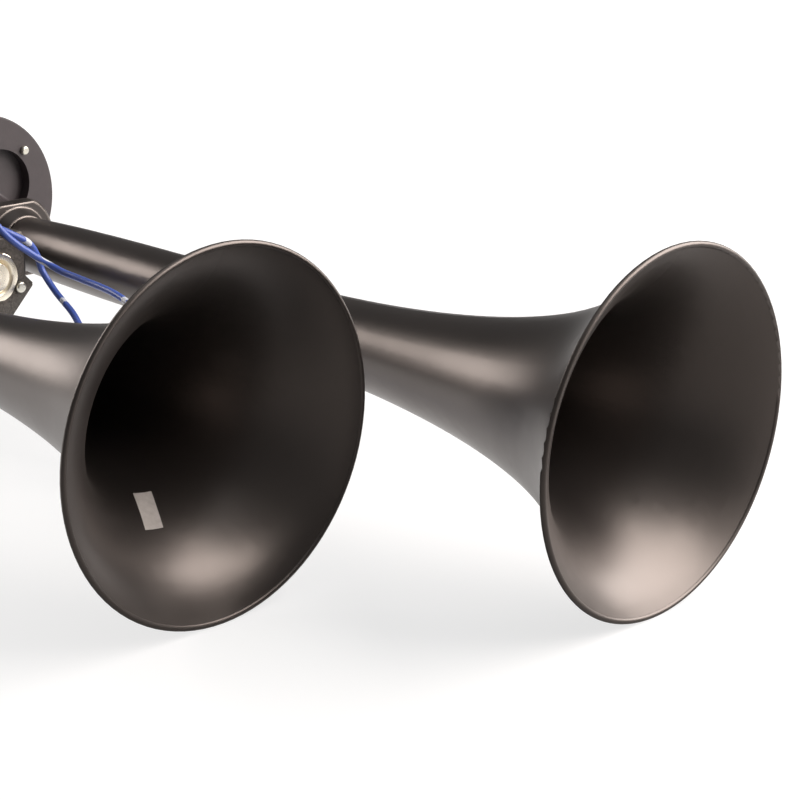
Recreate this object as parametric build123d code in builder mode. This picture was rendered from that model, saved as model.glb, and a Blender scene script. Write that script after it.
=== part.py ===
"""Twin-trumpet air horn with its solenoid valve and mounting bracket.

Frame: +X forward, out of the bells; +Y from the short trumpet to the long one;
+Z up.  The origin lies on the underside of the bracket's foot, midway between
its two slots.  Both bell rims reach down to the same level.  Millimetres.
"""
import os
from math import atan, cos, degrees, hypot, pi, radians, sin, sqrt, tan

from build123d import *

os.makedirs("parts", exist_ok=True)

# ---------------------------------------------------------------- trumpets
bell_r = 75.0            # over the rolled rim
axis_gap = 128.4         # between the two trumpets' axes
long_reach = 442.5       # body flange to the long bell's mouth
short_reach = 332.7      # body flange to the short bell's mouth
long_flare = 52.0        # length constant of the long bell's hyperbola
short_flare = 45.0
long_neck_r = 16.9       # where the flare runs out into the neck
short_neck_r = 15.6
long_waist_r = 15.6      # part-way down the neck
short_waist_r = 14.6
neck_end_r = 13.3        # at the shoulder before the thread
thread_r = 12.0          # trumpet thread, plain
throat_r = 6.0           # air bore where the trumpet starts
bell_wall = 1.8
neck_wall = 2.4          # where the flare has run out
rim_r = 1.25             # section of the rolled rim
thread_grip = 20.0       # thread inside the body's socket
shoulder_gap = 1.4       # between the lock nut's nose and the shoulder
neck_blend = 26.0        # length over which the flare turns into the neck
waist_share = 0.62       # waist's place between the flare's end and the shoulder
flare_shares = (0.2, 0.45, 0.8, 1.3, 2.0)  # depths of the bell's points, of its length constant

# ---------------------------------------------------------------- lock nuts
lock_nut_r = 22.5        # round collar with two wrench flats
lock_nut_across = 38.0
lock_nut_t = 9.0
lock_nut_edge = 1.2
nose_root_r = 17.0       # cone in front of the collar
nose_tip_r = 13.6
nose_len = 6.5
thread_clear = 0.1       # radial clearance of a plain thread in its nut
nut_chamfer = 30.0       # degrees, where a nut's corners are turned off
nut_face = 0.97          # a nut's face, as a share of its size across flats
head_round = 0.6         # a pan head's rounding, of its height
key_size = 0.5           # a cap head's hexagon recess, of the head's radius
key_depth = 0.5          # of the head's height

# ---------------------------------------------------------------- horn body
flange_x = 5.5           # front face of the body's two round flanges
flange_r = 46.0
flange_t = 3.5
disc_rise = 13.5         # diaphragm centre above the trumpet's axis
cup_r = 41.0             # diaphragm cup behind each flange
cup_depth = 18.0         # flange front to the diaphragm seat
flange_edge = 0.8
socket_len = 22.5
socket_root_r = 20.0
socket_tip_r = 17.5
socket_fillet = 1.5
socket_ledge = 1.95      # flat left between a socket's root and its pocket
pocket_r = 19.3          # dished pocket in each flange
pocket_depth = 6.0
pocket_out = 11.6        # pocket centre outboard of the disc's centre
pocket_up = 7.7
groove_r = 31.0          # air groove round the nozzle
groove_depth = 8.0
nozzle_r = 12.0
nozzle_lip_r = 8.5
bridge_h = 44.0
bridge_bite = 10.25      # how far the bridge runs into each cup
bridge_back = 14.0       # block behind the seat plane that the bracket bolts to
bridge_back_w = 34.0
bridge_back_h = 30.0
block_corner_r = 4.0     # upright edges of the bridge's block and the valve
port_r = 3.0             # air passages in the bridge
port_overlap = 4.0       # how far they run into the grooves

# ------------------------------------------------- diaphragms, rear covers
gasket_t = 0.5
diaphragm_t = 0.4
cover_flange_t = 3.0
dome_r = 32.0
dome_depth = 11.0
dome_taper = 14.0        # degrees
dome_edge = 3.0
cover_wall = 2.2
vent_r = 3.0
vent_boss_r = 7.5
vent_boss_h = 1.5
vent_boss_taper = 20.0   # degrees
screw_count = 6
screw_circle_r = 37.3
screw_start = 41.5       # degrees above outboard
cover_screw_r = 1.5
cover_head_r = 2.4
cover_head_h = 1.9
cover_nut_across = 5.5
cover_nut_t = 2.4
screw_clear = 0.15
screw_tail = 1.2         # thread standing out of the nut

# ---------------------------------------------------------------- valve
coil_rise = 5.0          # solenoid axis above the trumpets' axes
valve_w = 35.0
valve_h = 40.0
valve_len = 46.5
valve_edge = 1.0
bonnet_r = 12.0          # screwed skirt of the guide tube
bonnet_grip = 8.0
bonnet_across = 26.0
bonnet_t = 6.0
chamber_r = 9.5
chamber_depth = 26.0     # from the valve's front face
seat_back = 10.0         # seat plane behind the valve's front face
seat_r = 3.4
seat_root_r = 5.5
orifice_r = 1.8
inlet_r = 5.9            # quarter-inch pipe thread, plain
inlet_back = 19.0        # inlet axis behind the valve's front face
inlet_overlap = 1.9      # how far it runs into the chamber
feed_len = 16.0          # wide passage from the back face towards the seat
ring_r = 6.2             # O-ring centre line
ring_section_r = 1.0
ring_groove_r = 1.2      # half the width of its groove
valve_screw_r = 2.0
valve_screw_y = 13.0
valve_screw_z = 15.5
valve_head_r = 3.5
valve_head_h = 3.6
valve_screw_grip = 9.0

# ---------------------------------------------------------------- solenoid
guide_r = 7.0            # bore of the guide tube
guide_wall = 1.0
plunger_clear = 0.1
plunger_len = 36.0
plunger_stroke = 2.0
seal_r = 4.8
seal_t = 3.5
seal_proud = 1.0
spring_r = 3.3           # to the wire's centre line
spring_wire_r = 0.35
spring_turns = 5
spring_pocket_r = 4.3
spring_pocket = 12.0
flute_w = 2.0
core_stud_r = 7.0
core_stud_proud = 0.6
core_stud_edge = 0.6
coil_r = 23.0
coil_len = 38.0
coil_clear = 0.2
yoke_t = 2.5
yoke_top = 15.2          # underside of the yoke's bridge above the coil axis
yoke_half_w = 21.0
yoke_plate_r = 25.0
yoke_lug_half_w = 26.5   # the plates' lugs for the two screws
yoke_lug_drop = 8.7      # lugs' points below the coil axis
yoke_lug_r = 1.5
yoke_bend_r = 2.0
coil_nut_across = 22.4
coil_nut_r = 12.2        # its corners are turned off to this
coil_nut_t = 7.0
coil_nut_edge = 0.8
coil_nut_sink = 2.0      # countersink round the core's stud
yoke_screw_y = 17.6
yoke_screw_drop = 8.4
yoke_screw_r = 1.5
yoke_head_r = 2.8
yoke_head_h = 2.0
yoke_screw_grip = 8.0
blind_end = 1.0          # room past the end of a screw in its hole

# ---------------------------------------------------------------- leads
lead_r = 1.6
outlet_len = 8.0         # moulded outlet on the coil's side
outlet_y = (14.0, 37.0)  # from the coil axis, towards the short trumpet
outlet_z = (5.5, 13.5)   # above the coil axis
front_lead_out = 33.5    # leads' centres from the coil axis
rear_lead_out = 28.7
sleeve_len = 4.0
sleeve_r = 2.3
sleeve_tip_r = 1.9
run_share = 0.45         # of the shorter run beside a corner, for its arc
tip_r = 0.9
tip_len = 8.0

# ---------------------------------------------------------------- bracket
bracket_t = 3.0
bracket_bend_r = 5.0
bracket_tab_w = 34.0
bracket_foot_w = 62.0
bracket_foot_front = 14.0
bracket_corner_r = 6.0
bracket_waist_z = (20.0, 46.0)  # where the upright starts and ends narrowing
bracket_bolt_gap = 20.0
bracket_bolt_r = 3.0
bracket_bolt_grip = 11.0
bracket_top_margin = 2.0 # upright's end below the top of the bridge's block
bracket_head_across = 10.0
bracket_head_t = 4.0
washer_r = 5.6
washer_t = 1.6
slot_gap = 38.0
slot_r = 3.3
slot_len = 12.0

# ---------------------------------------------------------------- places
axis_z = bell_r
disc_z = axis_z + disc_rise
coil_z = axis_z + coil_rise
half_gap = axis_gap / 2
seat_x = flange_x - cup_depth                    # plane the gaskets lie on
lip_x = seat_x - gasket_t                        # nozzle lip and diaphragm
cover_x = lip_x - diaphragm_t                    # rear covers start here
cover_back_x = cover_x - cover_flange_t
socket_x = flange_x + socket_len                 # lock nuts seat here
throat_x = socket_x - thread_grip                # trumpet ends here
valve_x = flange_x + valve_len                   # valve's front face
bonnet_x = valve_x + bonnet_t                    # back of the yoke
coil_x = bonnet_x + yoke_t                       # back of the coil
coil_front_x = coil_x + coil_len
nut_x = coil_front_x + yoke_t                    # coil nut seats here
valve_seat_x = valve_x - seat_back
plunger_x = valve_seat_x + seal_proud            # plunger's back end
plunger_front_x = plunger_x + plunger_len
core_x = plunger_front_x + plunger_stroke        # back face of the fixed core
bridge_x = seat_x - bridge_back                  # bracket's plate seats here
trumpet_axes = ((half_gap, axis_z), (-half_gap, axis_z))
disc_centres = ((half_gap, disc_z), (-half_gap, disc_z))


def across_to_corner(across):
    """Corner radius of a hexagon from its size across flats."""
    return across / sqrt(3)


def hex_nut(across, thickness, bore_r):
    """A nut along +X from the YZ plane, its corners turned off on both faces."""
    corner = across_to_corner(across)
    face_r = across / 2 * nut_face
    drop = (corner - face_r) * tan(radians(nut_chamfer))
    with BuildPart() as nut:
        with BuildSketch(Plane.YZ):
            RegularPolygon(corner, 6)
        extrude(amount=thickness)
        with BuildSketch(Plane.XY):
            with BuildLine():
                Polyline(
                    (0, 0),
                    (0, face_r),
                    (drop, corner),
                    (thickness - drop, corner),
                    (thickness, face_r),
                    (thickness, 0),
                    close=True,
                )
            make_face()
        revolve(axis=Axis.X, mode=Mode.INTERSECT)
        with BuildSketch(Plane.YZ):
            Circle(bore_r)
        extrude(amount=thickness, mode=Mode.SUBTRACT)
    return nut.part


def pan_screw(head_r, head_h, shank_r, length):
    """A round-head screw: shank back along -X from the YZ plane, head in front."""
    with BuildPart() as screw:
        with BuildSketch(Plane.YZ):
            Circle(shank_r)
        extrude(amount=-length)
        with BuildSketch(Plane.YZ):
            Circle(head_r)
        extrude(amount=head_h)
        fillet(screw.faces().sort_by(Axis.X)[-1].edges(), head_round * head_h)
    return screw.part


def cap_screw(head_r, head_h, shank_r, length):
    """A socket cap screw: shank back along -X from the YZ plane, head in front."""
    with BuildPart() as screw:
        with BuildSketch(Plane.YZ):
            Circle(shank_r)
        extrude(amount=-length)
        with BuildSketch(Plane.YZ):
            Circle(head_r)
        extrude(amount=head_h)
        with BuildSketch(Plane.YZ.offset(head_h)):
            RegularPolygon(key_size * head_r, 6)
        extrude(amount=-key_depth * head_h, mode=Mode.SUBTRACT)
    return screw.part


def screw_places(side):
    """The cover screws' centres round one disc, side +1 outboard of the long trumpet."""
    return [
        (
            side * (half_gap + screw_circle_r * cos(radians(screw_start + 360 / screw_count * k))),
            disc_z + screw_circle_r * sin(radians(screw_start + 360 / screw_count * k)),
        )
        for k in range(screw_count)
    ]


both_screw_places = screw_places(1) + screw_places(-1)


# ================================================================ trumpets
def trumpet(reach, flare, neck_r, waist_r, side):
    """One horn turned in one piece: rolled rim, hyperbolic bell, neck and thread."""
    shoulder = reach - socket_len - lock_nut_t - nose_len - shoulder_gap
    end = reach - socket_len + thread_grip
    neck_t = flare * (bell_r / neck_r - 1) + neck_blend
    waist_t = neck_t + (shoulder - neck_t) * waist_share

    def bell_point(depth, wall):
        """A point of the bell's wall, depth behind the mouth, wall mm inside it."""
        radius = bell_r * flare / (flare + depth)
        slope = radius / (flare + depth)
        run = hypot(1, slope)
        return (-depth + wall * slope / run, radius - wall / run)

    def rim_point(wall):
        """Where the wall's outside, or wall mm inside it, runs into the rolled rim."""
        slope = bell_r / flare
        run = hypot(1, slope)
        inset = wall - bell_wall / 2
        return (-rim_r + inset * slope / run, bell_r - rim_r - inset / run)

    depths = [share * flare for share in flare_shares]
    outer = [rim_point(0)] + [bell_point(depth, 0) for depth in depths]
    outer += [(-neck_t, neck_r), (-waist_t, waist_r), (-shoulder, neck_end_r)]
    inner = [rim_point(bell_wall)] + [bell_point(depth, bell_wall) for depth in depths]
    inner += [
        (-neck_t, neck_r - neck_wall),
        (-waist_t, (waist_r + throat_r) / 2),
        (-shoulder, throat_r),
    ]
    mouth = Plane(origin=(flange_x + reach, side * half_gap, axis_z), x_dir=(1, 0, 0), z_dir=(0, -1, 0))
    with BuildPart() as horn:
        with BuildSketch(mouth):
            with BuildLine():
                Spline(*outer)
                Polyline(
                    outer[-1],
                    (-shoulder - (neck_end_r - thread_r), thread_r),
                    (-end, thread_r),
                    (-end, throat_r),
                    inner[-1],
                )
                Spline(*inner)
                Line(inner[0], outer[0])
            make_face()
            with Locations((-rim_r, bell_r - rim_r)):
                Circle(rim_r)
        revolve(axis=Axis(mouth.origin, (1, 0, 0)))
    return horn.part


with BuildPart() as long_trumpet:
    add(trumpet(long_reach, long_flare, long_neck_r, long_waist_r, 1))
long_trumpet.part.label = "long_trumpet"
export_step(long_trumpet.part, "parts/long_trumpet.step")

with BuildPart() as short_trumpet:
    add(trumpet(short_reach, short_flare, short_neck_r, short_waist_r, -1))
short_trumpet.part.label = "short_trumpet"
export_step(short_trumpet.part, "parts/short_trumpet.step")

with BuildPart() as lock_nuts:
    with BuildSketch(Plane.YZ.offset(socket_x)):
        with Locations(*trumpet_axes):
            Circle(lock_nut_r)
    extrude(amount=lock_nut_t)
    chamfer(lock_nuts.edges().filter_by(GeomType.CIRCLE), lock_nut_edge)
    with BuildSketch(Plane.YZ.offset(socket_x)):
        with Locations(*trumpet_axes):
            Rectangle(2 * lock_nut_r, lock_nut_across)
    extrude(amount=lock_nut_t, mode=Mode.INTERSECT)
    with BuildSketch(Plane.YZ.offset(socket_x + lock_nut_t)):
        with Locations(*trumpet_axes):
            Circle(nose_root_r)
    extrude(amount=nose_len, taper=degrees(atan((nose_root_r - nose_tip_r) / nose_len)))
    with BuildSketch(Plane.YZ.offset(socket_x)):
        with Locations(*trumpet_axes):
            Circle(thread_r + thread_clear)
    extrude(amount=lock_nut_t + nose_len, mode=Mode.SUBTRACT)
lock_nuts.part.label = "lock_nuts"
export_step(lock_nuts.part, "parts/lock_nuts.step")

# ================================================================ horn body
# One casting: two flanged diaphragm cups, a threaded socket in front of each,
# and the bridge between them that carries the valve and the bracket.
pocket_centres = [
    (side * (half_gap + pocket_out), disc_z + pocket_up) for side in (1, -1)
]
with BuildPart() as horn_body:
    with BuildSketch(Plane.YZ.offset(flange_x)):
        with Locations(*disc_centres):
            Circle(flange_r)
    extrude(amount=-flange_t)
    fillet(horn_body.edges().filter_by(GeomType.CIRCLE).group_by(Axis.X)[-1], flange_edge)
    with BuildSketch(Plane.YZ.offset(flange_x)):
        with Locations(*disc_centres):
            Circle(cup_r)
        with Locations((0, disc_z)):
            Rectangle(axis_gap - 2 * (cup_r - bridge_bite), bridge_h)
    extrude(amount=-cup_depth)
    with BuildSketch(Plane.YZ.offset(seat_x)):
        with Locations((0, disc_z)):
            RectangleRounded(bridge_back_w, bridge_back_h, block_corner_r)
    extrude(amount=-bridge_back)
    # sockets, drafted towards their mouths
    with BuildSketch(Plane.YZ.offset(flange_x)):
        with Locations(*trumpet_axes):
            Circle(socket_root_r)
    extrude(amount=socket_len, taper=degrees(atan((socket_root_r - socket_tip_r) / socket_len)))
    fillet(
        horn_body.edges()
        .filter_by(GeomType.CIRCLE)
        .filter_by(lambda e: abs(e.radius - socket_root_r) < 0.01 and abs(e.center().X - flange_x) < 0.01),
        socket_fillet,
    )
    # dished pockets beside the sockets
    with BuildSketch(Plane.YZ.offset(flange_x)):
        with Locations(*pocket_centres):
            Circle(pocket_r)
        with Locations(*trumpet_axes):
            Circle(socket_root_r + socket_ledge, mode=Mode.SUBTRACT)
    extrude(amount=-pocket_depth, mode=Mode.SUBTRACT)
    # air groove round each nozzle, and the nozzle's lip
    with BuildSketch(Plane.YZ.offset(seat_x)):
        with Locations(*disc_centres):
            Circle(groove_r)
            Circle(nozzle_r, mode=Mode.SUBTRACT)
    extrude(amount=groove_depth, mode=Mode.SUBTRACT)
    with BuildSketch(Plane.YZ.offset(seat_x)):
        with Locations(*disc_centres):
            Circle(nozzle_lip_r)
    extrude(amount=-gasket_t)
    # threaded sockets and the slanting throats that lead to the nozzles
    with BuildSketch(Plane.YZ.offset(socket_x)):
        with Locations(*trumpet_axes):
            Circle(thread_r + thread_clear)
    extrude(amount=-thread_grip, mode=Mode.SUBTRACT)
    for side in (1, -1):
        with BuildSketch(Plane.YZ.offset(throat_x)):
            with Locations((side * half_gap, axis_z)):
                Circle(throat_r)
        with BuildSketch(Plane.YZ.offset(lip_x)):
            with Locations((side * half_gap, disc_z)):
                Circle(throat_r)
        loft(mode=Mode.SUBTRACT)
    # cover screw holes
    with BuildSketch(Plane.YZ.offset(flange_x)):
        with Locations(*both_screw_places):
            Circle(cover_screw_r + screw_clear)
    extrude(amount=-cup_depth, mode=Mode.SUBTRACT)
    # air passages: valve port, then left and right into the grooves
    with BuildSketch(Plane.YZ.offset(flange_x)):
        with Locations((0, coil_z)):
            Circle(port_r)
    extrude(amount=seat_x + groove_depth / 2 - flange_x, mode=Mode.SUBTRACT)
    with BuildSketch(Plane.XZ):
        with Locations((seat_x + groove_depth / 2, coil_z)):
            Circle(port_r)
    extrude(amount=half_gap - groove_r + port_overlap, both=True, mode=Mode.SUBTRACT)
    # tapped holes for the valve and the bracket
    with BuildSketch(Plane.YZ.offset(flange_x)):
        with Locations((0, coil_z)):
            with GridLocations(2 * valve_screw_y, 2 * valve_screw_z, 2, 2):
                Circle(valve_screw_r)
    extrude(amount=-valve_screw_grip - blind_end, mode=Mode.SUBTRACT)
    with BuildSketch(Plane.YZ.offset(bridge_x)):
        with Locations((0, disc_z)):
            with GridLocations(bracket_bolt_gap, 0, 2, 1):
                Circle(bracket_bolt_r)
    extrude(amount=bracket_bolt_grip + blind_end, mode=Mode.SUBTRACT)
horn_body.part.label = "horn_body"
export_step(horn_body.part, "parts/horn_body.step")


# ======================================= gaskets, diaphragms, rear covers
def clamped_ring(x, thickness, inner_r, side):
    """A flat ring in the cup's joint, with the cover screws' holes."""
    with BuildPart() as ring:
        with BuildSketch(Plane.YZ.offset(x)):
            with Locations((side * half_gap, disc_z)):
                Circle(cup_r)
                if inner_r:
                    Circle(inner_r, mode=Mode.SUBTRACT)
            with Locations(*screw_places(side)):
                Circle(cover_screw_r + screw_clear, mode=Mode.SUBTRACT)
        extrude(amount=-thickness)
    return ring.part


def rear_cover(side):
    """A drawn cover: screw flange, tapered dome and a raised vent in its middle."""
    centre = (side * half_gap, disc_z)
    with BuildPart() as cover:
        with BuildSketch(Plane.YZ.offset(cover_x)):
            with Locations(centre):
                Circle(cup_r)
        extrude(amount=-cover_flange_t)
        with BuildSketch(Plane.YZ.offset(cover_back_x)):
            with Locations(centre):
                Circle(dome_r)
        extrude(amount=-dome_depth, taper=dome_taper)
        fillet(cover.faces().sort_by(Axis.X)[0].edges(), dome_edge)
        with BuildSketch(Plane.YZ.offset(cover_x)):
            with Locations(centre):
                Circle(dome_r - cover_wall)
        extrude(amount=-cover_flange_t - dome_depth + cover_wall, taper=dome_taper, mode=Mode.SUBTRACT)
        with BuildSketch(Plane.YZ.offset(cover_back_x - dome_depth)):
            with Locations(centre):
                Circle(vent_boss_r)
        extrude(amount=-vent_boss_h, taper=vent_boss_taper)
        with BuildSketch(Plane.YZ.offset(cover_x)):
            with Locations(centre):
                Circle(vent_r)
        extrude(amount=-cover_flange_t - dome_depth - vent_boss_h, mode=Mode.SUBTRACT)
        with BuildSketch(Plane.YZ.offset(cover_x)):
            with Locations(*screw_places(side)):
                Circle(cover_screw_r + screw_clear)
        extrude(amount=-cover_flange_t, mode=Mode.SUBTRACT)
    return cover.part


with BuildPart() as long_gasket:
    add(clamped_ring(seat_x, gasket_t, groove_r, 1))
long_gasket.part.label = "long_gasket"
export_step(long_gasket.part, "parts/long_gasket.step")

with BuildPart() as short_gasket:
    add(clamped_ring(seat_x, gasket_t, groove_r, -1))
short_gasket.part.label = "short_gasket"
export_step(short_gasket.part, "parts/short_gasket.step")

with BuildPart() as long_diaphragm:
    add(clamped_ring(lip_x, diaphragm_t, 0, 1))
long_diaphragm.part.label = "long_diaphragm"
export_step(long_diaphragm.part, "parts/long_diaphragm.step")

with BuildPart() as short_diaphragm:
    add(clamped_ring(lip_x, diaphragm_t, 0, -1))
short_diaphragm.part.label = "short_diaphragm"
export_step(short_diaphragm.part, "parts/short_diaphragm.step")

with BuildPart() as long_rear_cover:
    add(rear_cover(1))
long_rear_cover.part.label = "long_rear_cover"
export_step(long_rear_cover.part, "parts/long_rear_cover.step")

with BuildPart() as short_rear_cover:
    add(rear_cover(-1))
short_rear_cover.part.label = "short_rear_cover"
export_step(short_rear_cover.part, "parts/short_rear_cover.step")

cover_stack = flange_x - cover_back_x
with BuildPart() as cover_screws:
    with Locations(*[(flange_x, y, z) for y, z in both_screw_places]):
        add(pan_screw(cover_head_r, cover_head_h, cover_screw_r, cover_stack + cover_nut_t + screw_tail))
cover_screws.part.label = "cover_screws"
export_step(cover_screws.part, "parts/cover_screws.step")

with BuildPart() as cover_nuts:
    with Locations(*[(cover_back_x - cover_nut_t, y, z) for y, z in both_screw_places]):
        add(hex_nut(cover_nut_across, cover_nut_t, cover_screw_r + screw_clear / 3))
cover_nuts.part.label = "cover_nuts"
export_step(cover_nuts.part, "parts/cover_nuts.step")

# ================================================================ valve body
with BuildPart() as valve_body:
    with BuildSketch(Plane.YZ.offset(flange_x)):
        with Locations((0, coil_z)):
            RectangleRounded(valve_w, valve_h, block_corner_r)
    extrude(amount=valve_len)
    chamfer(valve_body.faces().sort_by(Axis.X)[-1].edges(), valve_edge)
    with BuildSketch(Plane.YZ.offset(valve_x)):
        with Locations((0, coil_z)):
            Circle(bonnet_r)
    extrude(amount=-bonnet_grip, mode=Mode.SUBTRACT)
    with BuildSketch(Plane.YZ.offset(valve_x)):
        with Locations((0, coil_z)):
            Circle(chamber_r)
    extrude(amount=-chamber_depth, mode=Mode.SUBTRACT)
    # valve seat standing in the chamber
    with BuildSketch(Plane.YZ.offset(valve_x - chamber_depth)):
        with Locations((0, coil_z)):
            Circle(seat_root_r)
    extrude(
        amount=chamber_depth - seat_back,
        taper=degrees(atan((seat_root_r - seat_r) / (chamber_depth - seat_back))),
    )
    with BuildSketch(Plane.YZ.offset(valve_seat_x)):
        with Locations((0, coil_z)):
            Circle(orifice_r)
    extrude(amount=-valve_len, mode=Mode.SUBTRACT)
    with BuildSketch(Plane.YZ.offset(flange_x)):
        with Locations((0, coil_z)):
            Circle(port_r)
    extrude(amount=feed_len, mode=Mode.SUBTRACT)
    # threaded inlet in the underside
    with BuildSketch(Plane.XY.offset(coil_z - valve_h / 2)):
        with Locations((valve_x - inlet_back, 0)):
            Circle(inlet_r)
    extrude(amount=valve_h / 2 - chamber_r + inlet_overlap, mode=Mode.SUBTRACT)
    # O-ring groove in the back face, and the four screw holes
    with BuildSketch(Plane.YZ.offset(flange_x)):
        with Locations((0, coil_z)):
            Circle(ring_r + ring_groove_r)
            Circle(ring_r - ring_groove_r, mode=Mode.SUBTRACT)
    extrude(amount=2 * ring_section_r, mode=Mode.SUBTRACT)
    with BuildSketch(Plane.YZ.offset(flange_x)):
        with Locations((0, coil_z)):
            with GridLocations(2 * valve_screw_y, 2 * valve_screw_z, 2, 2):
                Circle(valve_screw_r + screw_clear)
    extrude(amount=valve_len, mode=Mode.SUBTRACT)
valve_body.part.label = "valve_body"
export_step(valve_body.part, "parts/valve_body.step")

with BuildPart() as valve_o_ring:
    with BuildSketch(Plane.XY.offset(coil_z)):
        with Locations((flange_x + ring_section_r, ring_r)):
            Circle(ring_section_r)
    revolve(axis=Axis((0, 0, coil_z), (1, 0, 0)))
valve_o_ring.part.label = "valve_o_ring"
export_step(valve_o_ring.part, "parts/valve_o_ring.step")

with BuildPart() as valve_screws:
    with Locations((valve_x, 0, coil_z)):
        with Locations(
            *[(0, sy * valve_screw_y, sz * valve_screw_z) for sy in (1, -1) for sz in (1, -1)]
        ):
            add(cap_screw(valve_head_r, valve_head_h, valve_screw_r, valve_len + valve_screw_grip))
valve_screws.part.label = "valve_screws"
export_step(valve_screws.part, "parts/valve_screws.step")

# ================================================================ solenoid
with BuildPart() as guide_tube:
    with BuildSketch(Plane.YZ.offset(valve_x - bonnet_grip)):
        with Locations((0, coil_z)):
            Circle(bonnet_r - thread_clear)
    extrude(amount=bonnet_grip)
    with BuildSketch(Plane.YZ.offset(valve_x)):
        with Locations((0, coil_z)):
            RegularPolygon(across_to_corner(bonnet_across), 6)
    extrude(amount=bonnet_t)
    with BuildSketch(Plane.YZ.offset(bonnet_x)):
        with Locations((0, coil_z)):
            Circle(guide_r + guide_wall)
    extrude(amount=coil_front_x - bonnet_x)
    with BuildSketch(Plane.YZ.offset(valve_x - bonnet_grip)):
        with Locations((0, coil_z)):
            Circle(guide_r)
    extrude(amount=coil_front_x - valve_x + bonnet_grip, mode=Mode.SUBTRACT)
guide_tube.part.label = "guide_tube"
export_step(guide_tube.part, "parts/guide_tube.step")

with BuildPart() as fixed_core:
    with BuildSketch(Plane.YZ.offset(core_x)):
        with Locations((0, coil_z)):
            Circle(guide_r)
    extrude(amount=coil_front_x - core_x)
    with BuildSketch(Plane.YZ.offset(coil_front_x)):
        with Locations((0, coil_z)):
            Circle(core_stud_r)
    extrude(amount=yoke_t + coil_nut_t + core_stud_proud)
    chamfer(fixed_core.faces().sort_by(Axis.X)[-1].edges(), core_stud_edge)
fixed_core.part.label = "fixed_core"
export_step(fixed_core.part, "parts/fixed_core.step")

with BuildPart() as plunger:
    with BuildSketch(Plane.YZ.offset(plunger_x)):
        with Locations((0, coil_z)):
            Circle(guide_r - plunger_clear)
            with GridLocations(0, 2 * guide_r, 1, 2):
                Rectangle(flute_w, 2 * flute_w, mode=Mode.SUBTRACT)
    extrude(amount=plunger_len)
    with BuildSketch(Plane.YZ.offset(plunger_front_x)):
        with Locations((0, coil_z)):
            Circle(spring_pocket_r)
    extrude(amount=-spring_pocket, mode=Mode.SUBTRACT)
    with BuildSketch(Plane.YZ.offset(plunger_x)):
        with Locations((0, coil_z)):
            Circle(seal_r)
    extrude(amount=seal_t - seal_proud, mode=Mode.SUBTRACT)
plunger.part.label = "plunger"
export_step(plunger.part, "parts/plunger.step")

with BuildPart() as plunger_seal:
    with BuildSketch(Plane.YZ.offset(valve_seat_x)):
        with Locations((0, coil_z)):
            Circle(seal_r)
    extrude(amount=seal_t)
plunger_seal.part.label = "plunger_seal"
export_step(plunger_seal.part, "parts/plunger_seal.step")

spring_back_x = plunger_front_x - spring_pocket + spring_wire_r
spring_front_x = core_x - spring_wire_r
with BuildPart() as plunger_spring:
    with BuildLine():
        spring_line = Helix(
            pitch=(spring_front_x - spring_back_x) / spring_turns,
            height=spring_front_x - spring_back_x,
            radius=spring_r,
            center=(spring_back_x, 0, coil_z),
            direction=(1, 0, 0),
        )
    with BuildSketch(Plane(origin=spring_line @ 0, z_dir=spring_line % 0)):
        Circle(spring_wire_r)
    sweep()
plunger_spring.part.label = "plunger_spring"
export_step(plunger_spring.part, "parts/plunger_spring.step")

with BuildPart() as coil:
    with BuildSketch(Plane.YZ.offset(coil_x)):
        with Locations((0, coil_z)):
            Circle(coil_r)
        with Locations((0, coil_z + yoke_top)):
            Rectangle(2 * coil_r, coil_r, align=(Align.CENTER, Align.MIN), mode=Mode.SUBTRACT)
        with Locations((-outlet_y[0], coil_z + outlet_z[0])):
            Rectangle(
                outlet_y[1] - outlet_y[0],
                outlet_z[1] - outlet_z[0],
                align=(Align.MAX, Align.MIN),
            )
    extrude(amount=outlet_len)
    with BuildSketch(Plane.YZ.offset(coil_x)):
        with Locations((0, coil_z)):
            Circle(coil_r)
        with Locations((0, coil_z + yoke_top)):
            Rectangle(2 * coil_r, coil_r, align=(Align.CENTER, Align.MIN), mode=Mode.SUBTRACT)
    extrude(amount=coil_len)
    with BuildSketch(Plane.YZ.offset(coil_x)):
        with Locations((0, coil_z)):
            Circle(guide_r + guide_wall + coil_clear)
    extrude(amount=coil_len, mode=Mode.SUBTRACT)
    with BuildSketch(Plane.YZ.offset(coil_front_x)):
        with Locations((yoke_screw_y, coil_z - yoke_screw_drop), (-yoke_screw_y, coil_z - yoke_screw_drop)):
            Circle(yoke_screw_r)
    extrude(amount=-yoke_screw_grip, mode=Mode.SUBTRACT)
coil.part.label = "coil"
export_step(coil.part, "parts/coil.step")

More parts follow.
